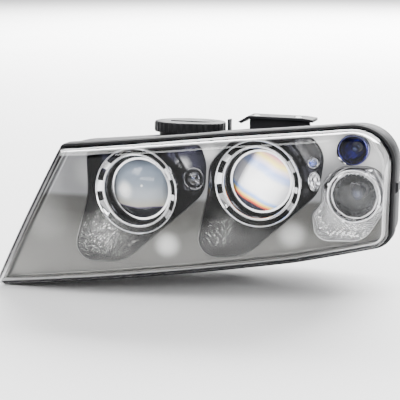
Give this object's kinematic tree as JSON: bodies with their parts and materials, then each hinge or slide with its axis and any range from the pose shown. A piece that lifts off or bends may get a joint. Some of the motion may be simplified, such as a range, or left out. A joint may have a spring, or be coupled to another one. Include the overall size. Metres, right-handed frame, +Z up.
{
  "type": "car headlight",
  "caption": "Left-hand car headlight with two aimed projector lamps, a turn lamp and a position lamp behind one clear lens, in a sealed housing with service caps.",
  "frame": {"origin": "centre of the underside of the housing's lower mounting foot", "axes": "+Z up, -Y ahead of the car out of the lens, +X towards the side of the car, where the lens sweeps back"},
  "size_m": [0.45, 0.2633, 0.1981],
  "materials": {
    "housing_plastic": "matt moulded",
    "seal_rubber": "matt",
    "clear_lens": "clear hard-coated, glossy",
    "satin_bezel": "satin silver coating",
    "chrome": "vacuum-metallised, mirror",
    "optical_glass": "polished optical glass",
    "bulb_glass": "tinted bulb glass",
    "black_steel": "satin black",
    "cast_alloy": "as cast",
    "zinc_steel": "zinc plated",
    "natural_nylon": "moulded nylon",
    "connector_plastic": "moulded",
    "alloy_case": "drawn sheet, satin"
  },
  "bodies": {
    "lamp_case": {"housing": "housing_plastic", "lens_seal": "seal_rubber", "outer_lens": "clear_lens", "inner_bezel": "satin_bezel", "low_beam_pocket": "chrome", "high_beam_pocket": "chrome", "turn_pocket": "chrome", "low_beam_ring": "chrome", "high_beam_ring": "chrome", "pivot_bracket": "natural_nylon", "levelling_motor": "connector_plastic", "turn_ring": "chrome", "turn_inner_lens": "clear_lens", "turn_reflector": "chrome", "position_reflector": "chrome", "marker_reflector": "chrome", "marker_dome": "optical_glass", "marker_bulb": "bulb_glass", "side_reflector": "chrome", "pilot_reflector": "chrome", "pilot_bulb": "bulb_glass", "top_bracket": "housing_plastic", "bracket_screw_1": "zinc_steel", "bracket_screw_2": "zinc_steel", "xenon_ballast": "alloy_case", "ballast_screw_1": "zinc_steel", "ballast_screw_2": "zinc_steel", "ballast_screw_3": "zinc_steel", "ballast_screw_4": "zinc_steel", "main_connector": "connector_plastic", "vent_cap": "seal_rubber"},
    "pivot_cross": {"pivot_cross": "zinc_steel"},
    "projectors": {"projector_carrier": "cast_alloy", "low_beam_barrel": "black_steel", "low_beam_lens": "optical_glass", "low_beam_reflector": "chrome", "low_beam_bulb": "bulb_glass", "xenon_igniter": "alloy_case", "shutter_solenoid": "connector_plastic", "high_beam_barrel": "black_steel", "high_beam_lens": "optical_glass", "high_beam_reflector": "chrome", "high_beam_bulb": "bulb_glass", "high_beam_plug": "connector_plastic"},
    "beam_shutter": {"beam_shutter": "black_steel"},
    "levelling_rod": {"levelling_rod": "zinc_steel"},
    "aim_spindle": {"aim_spindle": "zinc_steel"},
    "aim_knob": {"aim_knob": "natural_nylon"},
    "top_cap_seal": {"top_cap_seal": "seal_rubber"},
    "top_cap": {"top_cap": "housing_plastic"},
    "rear_cap_seal": {"rear_cap_seal": "seal_rubber"},
    "rear_cap": {"rear_cap": "housing_plastic"},
    "turn_bulb_holder": {"turn_bulb_holder": "connector_plastic", "turn_bulb": "bulb_glass"},
    "position_bulb_holder": {"position_bulb_holder": "connector_plastic", "position_bulb": "bulb_glass"}
  },
  "joints": [
    {"name": "horizontal_aim", "type": "hinge", "parent": "lamp_case", "child": "pivot_cross", "pos_m": [-0.01515, -0.05348, 0.10471], "axis": [0, 0, 1], "range_deg": [-1.5, 1.5]},
    {"name": "beam_levelling", "type": "hinge", "parent": "pivot_cross", "child": "projectors", "pos_m": [-0.01515, -0.05348, 0.10471], "axis": [1, 0, 0], "range_deg": [-2, 2]},
    {"name": "beam_shutter", "type": "hinge", "parent": "projectors", "child": "beam_shutter", "pos_m": [-0.08228, -0.07631, 0.07052], "axis": [1, 0, 0], "range_deg": [0, 25], "stiffness_Nm_per_rad": 0.05, "springref_deg": -17.19},
    {"name": "levelling_rod_slide", "type": "slide", "parent": "lamp_case", "child": "levelling_rod", "axis": [0, 1, 0], "range_m": [-0.0023, 0.0023]},
    {"name": "aim_spindle_slide", "type": "slide", "parent": "lamp_case", "child": "aim_spindle", "axis": [0, 1, 0], "range_m": [-0.0032, 0.0032]},
    {"name": "aim_knob_turn", "type": "hinge", "parent": "lamp_case", "child": "aim_knob", "pos_m": [0.10485, 0.0603, 0.10471], "axis": [0, 1, 0], "range_deg": [-190, 190]},
    {"name": "top_cap_lift", "type": "slide", "parent": "lamp_case", "child": "top_cap_seal", "axis": [0, 0.061, 0.9981], "range_m": [0, 0.04]},
    {"name": "top_cap_turn", "type": "hinge", "parent": "top_cap_seal", "child": "top_cap", "pos_m": [-0.0492, -0.04499, 0.1645], "axis": [0, 0.061, 0.9981], "range_deg": [0, 30]},
    {"name": "rear_cap_lift", "type": "slide", "parent": "lamp_case", "child": "rear_cap_seal", "axis": [0, 1, 0], "range_m": [0, 0.04]},
    {"name": "rear_cap_turn", "type": "hinge", "parent": "rear_cap_seal", "child": "rear_cap", "pos_m": [-0.08228, 0.068, 0.06999], "axis": [0, 1, 0], "range_deg": [0, 30]},
    {"name": "turn_holder_twist", "type": "hinge", "parent": "lamp_case", "child": "turn_bulb_holder", "pos_m": [0.15468, -0.03158, 0.09699], "axis": [0, 1, 0], "range_deg": [0, 30]},
    {"name": "position_holder_twist", "type": "hinge", "parent": "lamp_case", "child": "position_bulb_holder", "pos_m": [0.1515, -0.0423, 0.1485], "axis": [0, 1, 0], "range_deg": [0, 30]}
  ],
  "couplings": [
    {"joint": "levelling_rod_slide", "follows": "beam_levelling", "m_per_rad": 0.064},
    {"joint": "aim_spindle_slide", "follows": "horizontal_aim", "m_per_rad": 0.12},
    {"joint": "aim_knob_turn", "follows": "horizontal_aim", "ratio": 125.66}
  ]
}
